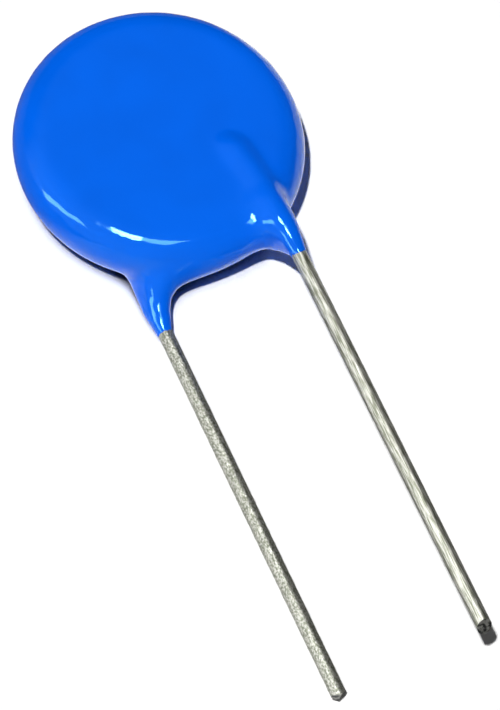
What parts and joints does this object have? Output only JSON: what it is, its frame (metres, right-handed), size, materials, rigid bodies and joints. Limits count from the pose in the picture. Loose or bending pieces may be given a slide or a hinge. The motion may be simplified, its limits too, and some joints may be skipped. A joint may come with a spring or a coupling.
{
  "type": "ceramic disc capacitor",
  "caption": "Radial disc capacitor: a ceramic disc in a glossy dipped skin that runs down onto straight tinned wire leads, one soldered to each face.",
  "frame": {"origin": "on the ground under the middle of the whole outline, below the lowest point of the skin", "axes": "+Z square to the disc, out of its front face; +Y from the cut ends of the leads towards the disc"},
  "size_m": [0.0154, 0.0396, 0.0046],
  "materials": {
    "skin": "glossy dipped epoxy, bright blue",
    "ceramic": "sintered ceramic, matt tan",
    "silver": "fired silver, satin",
    "solder": "tin solder, smooth",
    "tinned_wire": "hot tinned wire, slightly rough"
  },
  "bodies": {
    "root": {"coating": "skin", "ceramic_disc": "ceramic", "front_electrode": "silver", "back_electrode": "silver", "front_solder": "solder", "back_solder": "solder", "front_lead": "tinned_wire", "back_lead": "tinned_wire"}
  },
  "joints": []
}
